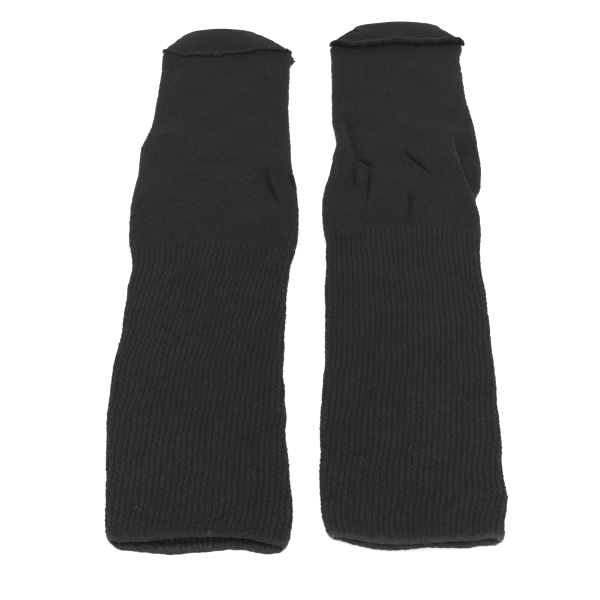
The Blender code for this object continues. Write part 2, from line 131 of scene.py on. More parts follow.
def setStudio():
    scene = bpy.context.scene
    scene.view_settings.view_transform = "Standard"
    bpy.ops.object.select_all(action="DESELECT")
    bpy.ops.object.camera_add(location=studio["cameraAt"],
                              rotation=(math.radians(studio["cameraTilt"]), 0.0, 0.0))
    camera = bpy.context.object
    camera.name = "photoCamera"
    camera.data.lens = studio["lens"]
    camera.data.sensor_width = 36.0
    camera.data.clip_start = 0.02
    scene.camera = camera
    bpy.ops.object.light_add(type="AREA", location=studio["softboxAt"])
    light = bpy.context.object
    light.name = "softboxOverhead"
    light.data.shape = "SQUARE"
    light.data.size = studio["softboxSide"]
    light.data.energy = studio["softboxWatts"]
    # It looks at the middle of the floor
    x, y, z = light.location
    light.rotation_euler = (math.atan2(math.hypot(x, y), z), 0.0, math.atan2(x, -y))
    world = bpy.data.worlds.new("whiteRoom")
    world.use_nodes = True
    backdrop = world.node_tree.nodes["Background"]
    backdrop.inputs["Color"].default_value = toLinear(studio["skyColour"])
    backdrop.inputs["Strength"].default_value = studio["skyStrength"]
    scene.world = world
    bpy.ops.mesh.primitive_plane_add(size=studio["floorSize"],
                                     location=(0.0, 0.0, -studio["floorDrop"]))
    floor = bpy.context.object
    floor.name = "floor"
    # Matt white acrylic on a light table: it glows a little, so no shadow greys it
    material, tree = startMaterial("backlitWhiteAcrylic")
    shader = addNode(tree, "BsdfPrincipled",
                     {"Base Color": studio["floorColour"], "Roughness": 0.95,
                      "Specular IOR Level": 0.1, "Emission Color": studio["floorColour"],
                      "Emission Strength": studio["floorGlow"]})
    addNode(tree, "OutputMaterial", {"Surface": shader.outputs["BSDF"]})
    floor.data.materials.append(material)


setStudio()
print("camera, floor and lights set")


knit = {
    "ribCount": 63,
    "knotsPerRib": 6,  # columns of points from one rib to the next
    "rowsPerCourse": 5,  # rows of points from one V to the next
    "ribPitch": 0.003314,
    "coursePitch": 0.00345,  # one V of the ribbed leg
    "ribHeight": 0.00050,
    "veeHeight": 0.00057,  # how far the arms of each V stand out
    "ribSeat": 0.00052,  # the relief's middle height lies on the section's outline
    "veeSlope": 1.30,  # courses that an arm climbs from the rib's middle to its side
    "armShares": (0.75, 1.10),  # the yarn's twist makes one arm of each V stand out more
    "grooveDepth": 0.30,  # dip between the two arms, as a share of the rib's height
    "wanderAside": 0.00030,  # the ribs aren't quite straight
    "footWander": 0.35,  # the foot's wales are straighter, by this share
    "wanderAlong": 0.00040,
    "alongWaves": ((1, 0.071, 3, 0), (0.6, 0.023, 11, 1.3), (0.6, 0.0094, 19, 2.1)),
    "ribJitter": 0.00060,  # neighbouring ribs don't keep quite level
    "fineWale": 0.001657,  # plain knit of the foot
    "fineCourse": 0.00130, "wall": 0.0019, "thinWall": 0.0014, "foldWall": 0.0027,
    "leastGap": 0.0006, "mouthRoom": 0.0068, "narrowRoom": 0.0032, "roomReach": 0.1100,
    "weltRoll": 0.0011,
    "weltBead": 0.00045,  # the turned edge stands out by this much
    "innerRib": 0.00055, "innerRibReach": 0.040, "edgeShare": 0.76, "foldShare": 0.62,
    "crownPower": 3.0, "edgeRoomShare": 0.62, "floorFadeLow": 0.0005, "floorFadeHigh": 0.0020,
    "ribEndFade": 0.0060, "archHalf": 0.0520, "foldEndShare": 0.46, "stepEndShare": 0.30,
    "edgeWidth": 0.0042,  # a sharp fold's low side rises again over this width
    "deepFold": 0.0026,
    "foldShade": 0.66,  # little light reaches into the folds
    "mouthReach": 0.030,
    "wave": 0.00030,  # slow unevenness of the cloth
    "hairy": 0.00018,  # loops and fibres stand off the side folds and lips
    "hairSeed": 5,
    "coarse": 3,  # every third knot is enough at the toe's end and the lip
    "plainSink": 0.00090,  # the heel's cloth needs every knot where it sinks by more
    "toeTurns": (0.97, 0.88, 0.74, 0.56, 0.36, 0.18), "lipTurns": (0.20, 0.40, 0.60, 0.80),
    "lipStations": (0.0, 0.0007, 0.0015, 0.0024, 0.0034, 0.0045, 0.0057), "legStart": 0.0067,
    "innerLegStart": 0.030, "heelEnd": 0.3340, "heelRow": 0.00116, "footRow": 0.00150,
    "toeRow": 0.00110, "toeStart": 0.3840, "innerEnd": 0.0065, "tipRise": 0.45,
    "pairCuff": -0.2127,
}
knotCount = knit["ribCount"] * knit["knotsPerRib"]
hairs = np.random.default_rng(knit["hairSeed"])
legRound = knit["ribCount"] * knit["ribPitch"]

overlock = {
    "gap": 0.0005,  # clear of the panel it is sewn to
    "half": 0.00085, "scallopLength": 0.0125, "swell": 0.08, "swellLength": 0.0213, "rings": 220,
    "lump": 0.17,  # the cut edges inside the stitches are uneven
    "threadRadius": 0.00019, "threadSides": 6,
    "loopPitch": 0.0017,  # from one wrapped stitch to the next
    "loopUneven": 0.40,
    "ragged": 0.00016,  # the stitching wanders from loop to loop
    "endTaper": 0.030,  # the ridge ends in a point at each side, over this share
    "loopPoints": 16, "looperShare": 0.55, "seed": 11,
}


def metres(value):
    # Whole numbers in the tables are tenths of a millimetre, and the others are shares
    if isinstance(value, tuple):
        return tuple(metres(part) for part in value)
    return value / 10000 if isinstance(value, int) else value


leftSock = {
    "name": "ribbedSockLeft", "node": "sock_left", "axis": -0.0653,
    "ribEnd": 0.2015, "ribArch": 0.0050, "tip": 0.4222, "waveTurn": 0.4,
    "outer": -1, "heelStretch": 0.55, "ribFade": 0.0022,
    # how much paler the lip's band, its edge and its corners are, and how much flatter the
    # ribs are before it
    "lipTone": 0.03, "lipLine": 0.08, "cornerTone": 0.25, "cuffCalm": 0.12,
    # painted light in the mouth: tone deep inside it and further out, the rim's on top of it, and
    # the rim's reach
    "insideTone": (4.3, 1.2, -1.0, 0.0016),
    # painted shadow of the seam: how much darker the cloth is before it, and how far; painted
    # shade on the ridge's near face, and how high that reaches; how far the ridge lies over
    "seamShade": (0.05, 0.0018), "ridgeShade": (0.08, 0.25), "ridgeLean": 0.45,
    "scallop": 0.00035, "crestTone": 1.0,
    # across, station, half size, how much paler
    "tufts": metres(((98, 8, 12, 1.2), (419, 2424, 6, 0.6))),
    # station, lean, width, height, drift
    "sections": metres((
        (0, 25, 990, 106, 0), (120, 27, 1030, 104, 14), (213, 23, 1037, 101, 25),
        (307, 14, 1040, 99, 37), (400, 7, 1035, 96, 48), (496, -4, 1044, 93, 60),
        (592, -13, 1039, 90, 71), (688, -21, 1039, 87, 83), (784, -24, 1054, 84, 94),
        (880, -28, 1044, 82, 105), (976, -28, 1042, 81, 115), (1072, -35, 1029, 80, 124),
        (1168, -33, 1031, 79, 133), (1264, -24, 1024, 78, 143), (1360, -18, 1008, 78, 153),
        (1450, -17, 1015, 78, 165), (1540, -13, 1018, 77, 178), (1630, -11, 1013, 77, 190),
        (1720, -9, 1024, 77, 202), (1800, 0, 1024, 77, 209), (1880, 8, 1024, 77, 215),
        (1960, 11, 1053, 77, 222), (2100, 10, 1119, 80, 244), (2210, 8, 1135, 83, 278),
        (2320, 7, 1141, 86, 316), (2400, 5, 1141, 87, 342), (2480, 3, 1129, 88, 368),
        (2560, 4, 1119, 88, 391), (2640, 2, 1099, 87, 411), (2720, -3, 1077, 84, 428),
        (2800, -10, 1069, 82, 444), (2940, -11, 1064, 78, 464), (3040, -1, 1033, 75, 474),
        (3160, 10, 997, 72, 482), (3253, 12, 984, 70, 485), (3347, 13, 978, 69, 488),
        (3440, 15, 976, 68, 490), (3547, 18, 973, 68, 491), (3653, 22, 974, 69, 492),
        (3760, 23, 974, 70, 492), (3870, 26, 987, 73, 492), (3960, 23, 957, 73, 492),
        (4030, 12, 832, 70, 492), (4100, -7, 696, 65, 492), (4165, -24, 533, 56, 492),
        (4200, -25, 396, 46, 492), (4214, -30, 270, 38, 492),
    )),
    # across, upper lip, lip under it
    "mouth": metres((
        (-480, 45, 38), (-401, 20, -14), (-336, 16, -20), (-245, 13, -30), (-120, 31, -42),
        (-10, 37, -34), (128, 37, -21), (226, 33, -13), (320, 29, -23), (400, 16, -40),
        (455, 4, -34), (487, -6, -27), (520, 12, 0),
    )),
    # across, width of the smooth band before the ribs
    "bareBand": metres((
        (-480, 30), (-410, 34), (-300, 30), (-200, 22), (0, 6), (200, 5), (410, 10), (520, 16),
    )),
    # across, station, height
    "seam": metres((
        (-455, 3938, 13), (-395, 3920, 14), (-337, 3884, 16), (-290, 3869, 17), (-180, 3870, 18),
        (-60, 3865, 18), (40, 3880, 18), (141, 3895, 19), (242, 3921, 20), (326, 3938, 20),
        (390, 3931, 18), (453, 3935, 16), (500, 3930, 14),
    )),
    # across and station of its two ends, depth, reach, swelling beside it, bow, kind.
    # A trough is a soft groove, an edge drops sharply on its left as it runs and rises
    # again softly, and a step stays low on that side
    "folds": metres((
        (462, 2330, 336, 2758, 33, 9, 0.0, 6, "edge"),
        (320, 2830, 470, 2400, 5, 46, 0.0, 0, "trough"),
        (500, 2720, 562, 2490, 16, 10, 0.05, -6, "trough"),
        (-460, 2700, 300, 2775, 4, 40, 0.1, 0, "trough"),
        (115, 68, 182, 135, 11, 8, 0.2, 0, "trough"),
        (-480, 3030, -290, 2880, 5, 32, 0.15, 8, "trough"),
    )),
    # the same on the underside, raised from the floor
    "underFolds": metres((
        (-300, 2860, 100, 2710, 7, 32, 0.0, 20, "trough"),
        (40, 2500, 330, 2620, 6, 28, 0.0, -15, "trough"),
        (-350, 2330, -80, 2420, 5, 36, 0.0, 10, "trough"),
    )),
}

rightSock = {
    "name": "ribbedSockRight", "node": "sock_right", "axis": 0.0627,
    "ribEnd": 0.2110, "ribArch": 0.0075, "tip": 0.4310, "waveTurn": 2.3,
    "outer": 1, "heelStretch": 0.12, "ribFade": 0.0065,
    "lipTone": 0.30, "lipLine": 0.55, "cornerTone": 0.35, "cuffCalm": 0.32,
    "insideTone": (2.4, 2.4, 2.8, 0.0015),
    "seamShade": (0.36, 0.0062), "ridgeShade": (0.62, 0.50), "ridgeLean": 1.0,
    "scallop": 0.00012, "crestTone": 0.62,
    "tufts": metres(((225, 42, 15, 0.3), (410, 3060, 11, 0.35), (512, 2600, 16, 0.4))),
    "sections": metres((
        (0, -60, 955, 104, 0), (120, -67, 1001, 102, 9), (200, -62, 1027, 100, 18),
        (280, -57, 1044, 98, 28), (360, -61, 1040, 96, 38), (440, -63, 1038, 93, 49),
        (520, -58, 1036, 91, 58), (610, -52, 1046, 89, 67), (700, -52, 1049, 86, 75),
        (790, -49, 1047, 84, 82), (880, -46, 1039, 82, 88), (970, -39, 1040, 81, 93),
        (1060, -35, 1035, 80, 98), (1150, -27, 1026, 79, 101), (1240, -27, 1024, 78, 105),
        (1330, -25, 1024, 78, 109), (1420, -22, 1026, 77, 112), (1510, -23, 1020, 77, 115),
        (1600, -22, 1021, 77, 116), (1700, -22, 1025, 77, 115), (1800, -22, 1010, 77, 113),
        (1900, -19, 1003, 77, 110), (1990, -18, 1010, 78, 106), (2080, -11, 1018, 79, 102),
        (2160, -11, 1046, 81, 101), (2240, -12, 1060, 83, 102), (2320, -13, 1066, 85, 102),
        (2460, -17, 1049, 88, 102), (2560, 11, 1071, 89, 102), (2680, 36, 1061, 89, 102),
        (2800, 53, 1047, 89, 102), (2880, 57, 1035, 89, 102), (2960, 66, 1010, 88, 102),
        (3080, 61, 1011, 85, 102), (3180, 50, 1021, 80, 102), (3290, 43, 1010, 75, 102),
        (3400, 37, 996, 72, 102), (3480, 34, 991, 71, 102), (3560, 35, 988, 70, 102),
        (3640, 35, 987, 70, 102), (3720, 35, 988, 71, 102), (3800, 34, 986, 72, 102),
        (3880, 34, 984, 74, 102), (3980, 44, 1015, 76, 102), (4080, 63, 960, 73, 102),
        (4150, 66, 832, 69, 102), (4200, 68, 720, 63, 102), (4250, 69, 638, 54, 102),
        (4286, 97, 455, 44, 102), (4301, 98, 310, 36, 102),
    )),
    "mouth": metres((
        (-540, 46, 54), (-475, 36, 41), (-410, 22, 19), (-360, 12, 9), (-300, -1, -7),
        (-220, -10, -16), (-120, -14, -11), (-10, -7, 1), (90, 3, -1), (200, 10, -4),
        (280, 20, 8), (350, 36, 11), (382, 29, 13), (430, 34, 34),
    )),
    "bareBand": metres(((-540, 30), (-300, 26), (0, 22), (430, 24))),
    "seam": metres((
        (-458, 4010, 22), (-390, 4000, 30), (-320, 3967, 35), (-221, 3962, 36), (-122, 3969, 36),
        (-30, 3985, 37), (60, 3992, 38), (125, 3990, 38), (205, 3981, 37), (326, 3995, 36),
        (411, 4004, 36), (500, 4018, 34), (555, 4020, 32),
    )),
    "folds": metres((
        (-392, 3350, -268, 2610, 21, 9, 0.0, -8, "edge"),
        (-334, 2816, -152, 2666, 24, 13, 0.0, 14, "trough"),
        (-300, 2850, -310, 2440, 22, 13, 0.0, -14, "trough"),
        (-216, 2770, -252, 2330, 23, 9, 0.0, 12, "trough"),
        (-4, 2894, 236, 2616, 28, 8, 0.0, 3, "trough"),
        (36, 2550, 6, 2140, 21, 16, 0.0, 24, "trough"),
        (-300, 4225, -235, 4120, 14, 9, 0.1, 0, "trough"),
        (384, 3050, 520, 2380, 24, 6, 0.0, -22, "step"),
    )),
    "underFolds": metres((
        (-250, 2950, 150, 2800, 7, 34, 0.0, 20, "trough"),
        (100, 2660, 360, 2520, 6, 30, 0.0, -12, "trough"),
        (-330, 2450, -50, 2540, 5, 34, 0.0, 12, "trough"),
    )),
}


def ease(value):
    # 0 below 0, 1 above 1 and a smooth rise between
    value = np.clip(value, 0.0, 1.0)
    return value * value * (3.0 - 2.0 * value)


def bell(value, width):
    # 1 at 0, falling away on both sides
    return np.exp(-(value / width) ** 2)


def curve(t, start, slope1, stop, slope2):
    # Smooth curve from one value to the next, by the slopes at its ends
    return (start * (2 * t ** 3 - 3 * t ** 2 + 1) + slope1 * (t ** 3 - 2 * t ** 2 + t)
            + stop * (3 * t ** 2 - 2 * t ** 3) + slope2 * (t ** 3 - t ** 2))


def readRows(rows, column, place):
    # Smooth curve through one column of a table, held level past its ends
    at, value = (np.array([row[k] for row in rows]) for k in (0, column))
    run, rise = (np.pad(line, 1, mode="edge") for line in (at, value))
    slope = (rise[2:] - rise[:-2]) / (run[2:] - run[:-2])
    place = np.clip(place, at[0], at[-1])
    first = np.clip(np.searchsorted(at, place, side="right") - 1, 0, len(at) - 2)
    span = at[first + 1] - at[first]
    return curve((place - at[first]) / span, value[first], span * slope[first],
                 value[first + 1], span * slope[first + 1])


def foldParts(fold, across, station):
    # How fully a fold shows at each place, how far aside of its line that is, and its reach
    across1, station1, across2, station2, _, reach, _, bow, kind = fold
    runAcross = across2 - across1
    runStation = station2 - station1
    length = math.hypot(runAcross, runStation)
    forward = ((across - across1) * runAcross + (station - station1) * runStation) / length
    aside = ((station - station1) * runAcross - (across - across1) * runStation) / length
    along = np.clip(forward / length, 0.0, 1.0)
    fade = knit["stepEndShare" if kind == "step" else "foldEndShare"] * length
    shown = ease(forward / fade) * ease((length - forward) / fade)
    if kind == "step":
        reach = reach * (1 + 1.5 * (1 - along) ** 2)
    return shown, aside - bow * 4 * along * (1 - along), reach


def foldDepth(folds, across, station, widen=1.0):
    # How far the folds lower the cloth at each place
    total = np.zeros(np.broadcast(across, station).shape)
    for fold in folds:
        shown, aside, reach = foldParts(fold, across, station)
        depth, swelling, kind = fold[4], fold[6], fold[8]
        reach = reach * widen
        if kind == "trough":
            beside = bell(np.abs(aside) - 2.5 * reach, 1.4 * reach)
            total = total + depth * shown * (bell(aside, reach) - swelling * beside)
            continue
        low = ease(0.5 + 0.5 * aside / reach)
        if kind == "edge":
            low = low * bell(np.maximum(aside, 0.0), knit["edgeWidth"] * widen)
        bead = bell(aside + 1.6 * reach, 1.3 * reach)
        total = total + depth * shown * (low - swelling * bead)
    return total


def foldShade(folds, across, station):
    # Up to 1 in the bottom of a deep fold, a little below 0 where the cloth turns to the light
    total = np.zeros(np.broadcast(across, station).shape)
    lit = np.zeros_like(total)
    for fold in folds:
        shown, aside, reach = foldParts(fold, across, station)
        if fold[8] == "edge":
            wide = 0.60 * ease(aside / reach) * bell(aside, 0.0075)
            near = np.maximum(bell(aside - 0.7 * reach, 1.4 * reach), wide)
            lit = lit + 0.40 * shown * bell(aside + 0.0030, 0.0030)
        elif fold[8] == "trough":
            near = bell(aside, 1.6 * reach)
        else:
            near = 0.45 * ease(aside / reach) * bell(aside, 0.0120)
        total = np.maximum(total, shown * near * min(1.0, fold[4] / knit["deepFold"]))
    return total - lit


def sectionLine(halfWidth, edgeHeight, height, foldPoints=28, crownPoints=80):
    # Outline of one section, counter-clockwise from the middle of its flat underside:
    # a level bottom, a rounded side fold, a crowned top and the other fold
    radius = knit["foldShare"] * edgeHeight
    flat = halfWidth - radius
    turn = math.pi * np.arange(1, foldPoints + 1) / foldPoints - math.pi / 2
    share = 1 - 2 * np.arange(1, crownPoints) / crownPoints
    sideX = flat + radius * np.cos(turn)
    sideZ = edgeHeight / 2 * (1 + np.sin(turn))
    crownX = flat * share
    crownZ = edgeHeight + (height - edgeHeight) * (1 - np.abs(share) ** knit["crownPower"])
    x = np.concatenate(([0.0, flat], sideX, crownX, -sideX[::-1], [-flat, 0.0]))
    z = np.concatenate(([0.0, 0.0], sideZ, crownZ, sideZ[::-1], [0.0, 0.0]))
    return x, z


def runOf(lengths):
    # How far along a path each of its points is
    return np.concatenate(([0.0], np.cumsum(lengths)))


def walkLine(line, share):
    # Points and outward normals at shares of the outline's length
    pieces = np.diff(line)
    lengths = np.hypot(*pieces)
    reach = runOf(lengths)
    normals = np.stack((pieces[1], -pieces[0])) / lengths
    at = (share % 1.0) * reach[-1]
    outX, outZ = (np.interp(at, reach, np.concatenate(([end], (row[1:] + row[:-1]) / 2, [end])))
                  for row, end in zip(normals, (0.0, -1.0)))
    x, z = (np.interp(at, reach, row) for row in line)
    size = np.hypot(outX, outZ)
    return x, z, outX / size, outZ / size


def sectionAt(sock, station):
    # Lean, width, height and drift
    return tuple(readRows(sock["sections"], column, station) for column in (1, 2, 3, 4))


def outerLine(sock, station):
    _, width, height, _ = sectionAt(sock, station)
    return sectionLine(width / 2, height * knit["edgeShare"], height)


def rooms(sock, station):
    # Room between the layers in the middle and at the side folds
    height = sectionAt(sock, station)[2]
    widest = knit["mouthRoom"] + (knit["narrowRoom"] - knit["mouthRoom"]) * ease(
        station / knit["roomReach"])
    middle = max(knit["leastGap"], min(height - 2 * knit["wall"], widest))
    edge = max(knit["leastGap"], min(height * knit["edgeShare"] - 2 * knit["wall"],
                                     middle * knit["edgeRoomShare"]))
    return middle, edge


def placeRing(sock, station, x, z, rise):
    # Points of a section, moved to where the sock lies. The lip curves in plan, and the layer
    # under it stands out further
    across = x + sectionAt(sock, station)[0]
    fade = max(0.0, 1 - station / knit["mouthReach"]) ** 2
    upper, under = (readRows(sock["mouth"], column, across) for column in (1, 2))
    along = station + fade * (under + (upper - under) * np.minimum(1.0, rise))
    return np.stack((sock["axis"] + across, knit["pairCuff"] + along, z), axis=1)


def ripple(station, turn, waves):
    # Waves along the sock: height, length, how often they turn with the knit, where they start
    return sum(height * np.sin(math.tau * station / length + times * turn + start)
               for height, length, times, start in waves)


def knitPlan(station, knots):
    # Where the knit itself lies: metres round the tube with the ribs, and metres along it
    rib = math.tau * knots / knit["knotsPerRib"] / knit["ribCount"]
    along = station + knit["wanderAlong"] * ripple(station, rib, knit["alongWaves"])
    along = along + knit["ribJitter"] * np.sin(23 * rib + math.tau * station / 0.19)
    return knots / knotCount * legRound, along


def knitShare(sock, station, knots):
    # Share of the section's length: the ribs drift round the tube and wander a little
    drift = sectionAt(sock, station)[3]
    onFoot = ease((station - sock["ribEnd"]) / 0.03)
    wander = knit["wanderAside"] * (1 + (knit["footWander"] - 1) * onFoot) * ripple(
        station, math.tau * knots / knotCount,
        ((1, 0.043, 4, sock["waveTurn"]), (0.5, 0.0171, 9, 0)))
    return knots / knotCount - (drift + wander) / legRound


def ribShare(sock, station, across):
    # 1 on the ribbed leg, 0 on the welt and the foot, whose knit begins on an arched line
    end = sock["ribEnd"] + sock["ribArch"] * (1 - (across / knit["archHalf"]) ** 2)
    bare = readRows(sock["bareBand"], 1, across)
    start = ease((station - bare) / sock["ribFade"] + 0.5)
    start = start * (1 - sock["cuffCalm"] * bell(station, 0.030))
    return start * ease((end - station) / knit["ribEndFade"] + 0.5)


def ribRelief(around, along):
    # Height of the knitted V's: a rounded rib whose two arms climb away from the cuff
    turn = (around / knit["ribPitch"]) % 1.0
    aside = np.abs(2 * turn - 1)
    dome = 1 - aside ** 4 - knit["grooveDepth"] * bell(aside, 0.18)
    phase = along / knit["coursePitch"] - knit["veeSlope"] * aside
    arms = (0.5 + 0.5 * np.cos(math.tau * phase)) * (1 - 0.6 * aside ** 4)
    arms = arms * np.where(turn < 0.5, *knit["armShares"])
    return knit["ribHeight"] * dome + knit["veeHeight"] * arms - knit["ribSeat"]


def slowWaves(sock, across, station):
    turn = sock["waveTurn"]
    return knit["wave"] * (
        np.sin(math.tau * (station / 0.083 + across / 0.061) + turn)
        + 0.8 * np.sin(math.tau * (station / 0.047 - across / 0.052) + 2.1 * turn)
        + 0.5 * np.sin(math.tau * (station / 0.029 + across / 0.090) + 3.7 * turn))


shading = {
    # how much darker than the ribs
    "plain": 0.22,
    "foot": 0.08,
    "dome": 0.27,
    # painted sheen: how much paler the side folds are and how far in: all cloth, plain knit and
    # the toe's dome
    "sides": ((0.50, 0.0032), (0.08, 0.011)),
    "plainSides": ((0.22, 0.003), (0.18, 0.007)),
    "domeSides": ((0.90, 0.006), (0.55, 0.017)),
}


# Painted sheen: the cloth is paler towards the side folds, where it turns away
def paintedSheen(inward, gains):
    return sum(gain * bell(inward, reach) for gain, reach in gains)


def outerRing(sock, station, knots):
    x, z, normalX, normalZ = walkLine(outerLine(sock, station), knitShare(sock, station, knots))
    lean, width, height, _ = sectionAt(sock, station)
    across = x + lean
    rise = z / height
    around, along = knitPlan(station, knots)
    ribbed = ribShare(sock, station, across)
    offFloor = ease((z - knit["floorFadeLow"]) / (knit["floorFadeHigh"] - knit["floorFadeLow"]))
    bead = knit["weltBead"] * bell(station - 0.0030, 0.0026)
    upper = ease(rise / knit["edgeShare"])
    calm = ease(station / 0.020) * ease((sock["tip"] - station) / 0.030)
    stray = knit["hairy"] * hairs.standard_normal(len(x)) * ease(
        (np.abs(x) - width / 2 + 0.0035) / 0.0025)
    lift = offFloor * (ribbed * ribRelief(around, along) + bead + stray)
    sink = upper * (foldDepth(sock["folds"], across, station)
                    - calm * slowWaves(sock, across, station))
    under = ease((-normalZ - 0.5) / 0.4) * ease((width / 2 - np.abs(x)) / 0.012)
    hollow = under * foldDepth(sock["underFolds"], across, station)
    points = placeRing(sock, station, x + normalX * lift, z + normalZ * lift - sink + hollow, rise)
    # Paler at the lip; painted sheen where the cloth turns over at the side folds and on the toe's
    # flanks, painted light towards each sock's outer side, and painted shade in the folds
    inward = width / 2 - np.abs(x)
    outer = sock["outer"] * x / (width / 2)
    plain = (1 - ribbed) * ease((station - 0.15) / 0.02)
    dome = ease((station - sock["seam"][0][1] + 0.006) / 0.006)
    foot = ease((station - 0.30) / 0.03)
    tone = ((1 - shading["plain"] * plain) * (1 - shading["foot"] * foot)
            * (1 - shading["dome"] * dome)
            # painted light: paler towards the sock's outer side
            * (1 + 0.06 * outer + 0.10 * np.maximum(outer, 0.0) ** 2)
            * (1 + paintedSheen(inward, shading["sides"]))
            * (1 + plain * (1 - dome) * paintedSheen(inward, shading["plainSides"]))
            * (1 + dome * paintedSheen(inward, shading["domeSides"]))
            * (1 + sock["lipTone"] * bell(station - 0.0005, 0.0034))
            * (1 + sock["lipLine"] * bell(station, 0.0014))
            * (1 + sock["cornerTone"] * bell(station, 0.012) * bell(inward, 0.006))
            * (1 - knit["foldShade"] * upper * foldShade(sock["folds"], across, station)))
    # Painted shadow of the seam's ridge on the cloth just before it
    shade, reach = sock["seamShade"]
    beside = readRows(sock["seam"], 1, across) - overlock["half"] - station
    tone = tone * (1 - shade * upper * ease(beside / 0.0008 + 1)
                   * bell(np.maximum(beside, 0.0), reach))
    # Tufts of lint
    for tuftAcross, tuftStation, half, gain in sock["tufts"]:
        tone = tone * (1 + gain * upper * np.exp(
            -(((across - tuftAcross) ** 2 + (station - tuftStation) ** 2) / half ** 2) ** 2))
    # Stretched over the heel the plain knit shows its wales more: below 0 in this share
    heel = (1 - ribbed) * ease((station - sock["ribEnd"] + 0.004) / 0.008) * ease(
        (0.300 - station) / 0.020)
    stretch = sock["heelStretch"] * heel
    tone = tone * (1 + 0.10 * stretch)
    tone = tone * (1 + (0.05 * plain + 0.06 * heel) * hairs.standard_normal(len(x)))
    # The pouch's wales slant away from the fold over it
    if sock["folds"][-1][-1] == "step":
        pouch = np.clip(foldDepth(sock["folds"][-1:], across, station) / knit["deepFold"],
                        0.0, 1.0)
        around = around - 0.55 * (station - 0.27) * pouch * upper
        tone = tone * (1 - 0.12 * pouch * upper)
        stretch = np.maximum(stretch, pouch * upper)
    ribbed = ribbed - stretch * (1 - ribbed)
    below = (z <= 0.0) & (np.abs(x) < width / 2 - 0.0045)
    return (points, around, along, ribbed, tone), sink, below


def innerRing(sock, station, knots):
    middle, edge = rooms(sock, station)
    lean, width, height, _ = sectionAt(sock, station)
    line = sectionLine(width / 2 - knit["foldWall"], edge, middle, 14, 40)
    x, z, normalX, normalZ = walkLine(line, knitShare(sock, station, knots))
    across = x + lean
    around, along = knitPlan(station, knots)
    spare = max(0.0, height * knit["edgeShare"] - knit["wall"] - edge - knit["thinWall"])
    deep = foldDepth(sock["folds"], across, station, 2.0)
    drop = np.maximum(0.0, deep - spare) * ease(z / edge)
    drop = np.where(z > knit["leastGap"], np.minimum(drop, z - knit["leastGap"]), drop)
    reach = ease((knit["innerRibReach"] - station) / 0.020) * ease((station - 0.004) / 0.004)
    aside = np.abs(2 * ((around / knit["ribPitch"]) % 1.0) - 1)
    lift = -knit["innerRib"] * reach * (1 - aside ** 2)
    z = knit["wall"] + z
    points = placeRing(sock, station, x + normalX * lift, z + normalZ * lift - drop, z / height)
    # Painted light: the shaded inside of the mouth is painted paler, with its own tone at the rim
    deepTone, middleTone, rimTone, rimReach = sock["insideTone"]
    tone = (deepTone + (middleTone - deepTone) * bell(station - 0.0038, 0.0020)
            + rimTone * bell(station, rimReach) + 0.0 * x)
    return points, around, along, ribShare(sock, station, across), tone


def steps(start, *stretches):
    # Stations from a start to each stop in turn, every stretch with its own spacing
    stations = [start]
    for stop, spacing in stretches:
        count = max(1, round((stop - start) / spacing))
        stations += [start + (stop - start) * i / count for i in range(1, count + 1)]
        start = stop
    return stations


def outerStations(sock):
    ribsStop = sock["ribEnd"] + sock["ribArch"] + 0.004
    return list(knit["lipStations"]) + steps(
        knit["legStart"], (ribsStop, knit["coursePitch"] / knit["rowsPerCourse"]),
        (knit["heelEnd"], knit["heelRow"]), (knit["toeStart"], knit["footRow"]),
        (sock["sections"][-1][0], knit["toeRow"]))


def innerStations(sock):
    return steps(0.0012, (knit["innerLegStart"], 0.0020), (sock["ribEnd"], 0.0100),
                 (knit["heelEnd"], 0.0030), (sock["tip"] - knit["innerEnd"], 0.0080))


def startPiece(name, points, faces, plans, material):
    # A smooth mesh with the knit's own plan at each corner
    mesh = bpy.data.meshes.new(name)
    mesh.from_pydata(points, [], faces)
    plan = mesh.uv_layers.new(name="knitPlan")
    plan.data.foreach_set("uv", np.array(plans, dtype=np.float32).ravel())
    mesh.shade_smooth()
    mesh.materials.append(material)
    piece = bpy.data.objects.new(name, mesh)
    bpy.context.scene.collection.objects.link(piece)
    return piece


def addLayer(mesh, name, values):
    layer = mesh.attributes.new(name, "FLOAT", "POINT")
    layer.data.foreach_set("value", np.array(values, dtype=np.float32))


class Shell:
    # Skin of one sock, ring by ring, with each corner's place in the knit
    def __init__(self):
        self.points, self.ribbed, self.tone, self.faces, self.plans = [], [], [], [], []
        self.last = None

    def addRing(self, knots, points, around, along, ribbed, tone):
        first = len(self.points)
        self.points.extend(points.tolist())
        self.ribbed.extend(ribbed.tolist())
        self.tone.extend(tone.tolist())
        ring = [(int(knot), first + i, (around[i], along[i])) for i, knot in enumerate(knots)]
        ring.append((knotCount, first, (legRound, along[0])))
        if self.last:
            self.join(self.last, ring)
        self.last = ring
        return ring

    def join(self, near, far):
        # Skin between two rings of unequal counts, matched by their knots
        i = 0
        j = 0
        while i < len(near) - 1 or j < len(far) - 1:
            nearNext = near[i + 1][0] if i < len(near) - 1 else knotCount + 1
            farNext = far[j + 1][0] if j < len(far) - 1 else knotCount + 1
            if nearNext == farNext:
                corners = (near[i], near[i + 1], far[j + 1], far[j])
                i += 1
                j += 1
            elif nearNext < farNext:
                corners = (near[i], near[i + 1], far[j])
                i += 1
            else:
                corners = (near[i], far[j + 1], far[j])
                j += 1
            self.addFace(corners)

    def addFace(self, corners):
        self.faces.append([corner[1] for corner in corners])
        self.plans.extend(corner[2] for corner in corners)

    def close(self, ring, point, starts):
        tip = len(self.points)
        self.points.append(list(point))
        self.ribbed.append(0.0)
        self.tone.append(1.0)
        for one, two in zip(ring, ring[1:]):
            plan = ((one[2][0] + two[2][0]) / 2, one[2][1] + (0.002 if starts else -0.002))
            middle = (tip, tip, plan)
            self.addFace((middle, two, one) if starts else (one, two, middle))


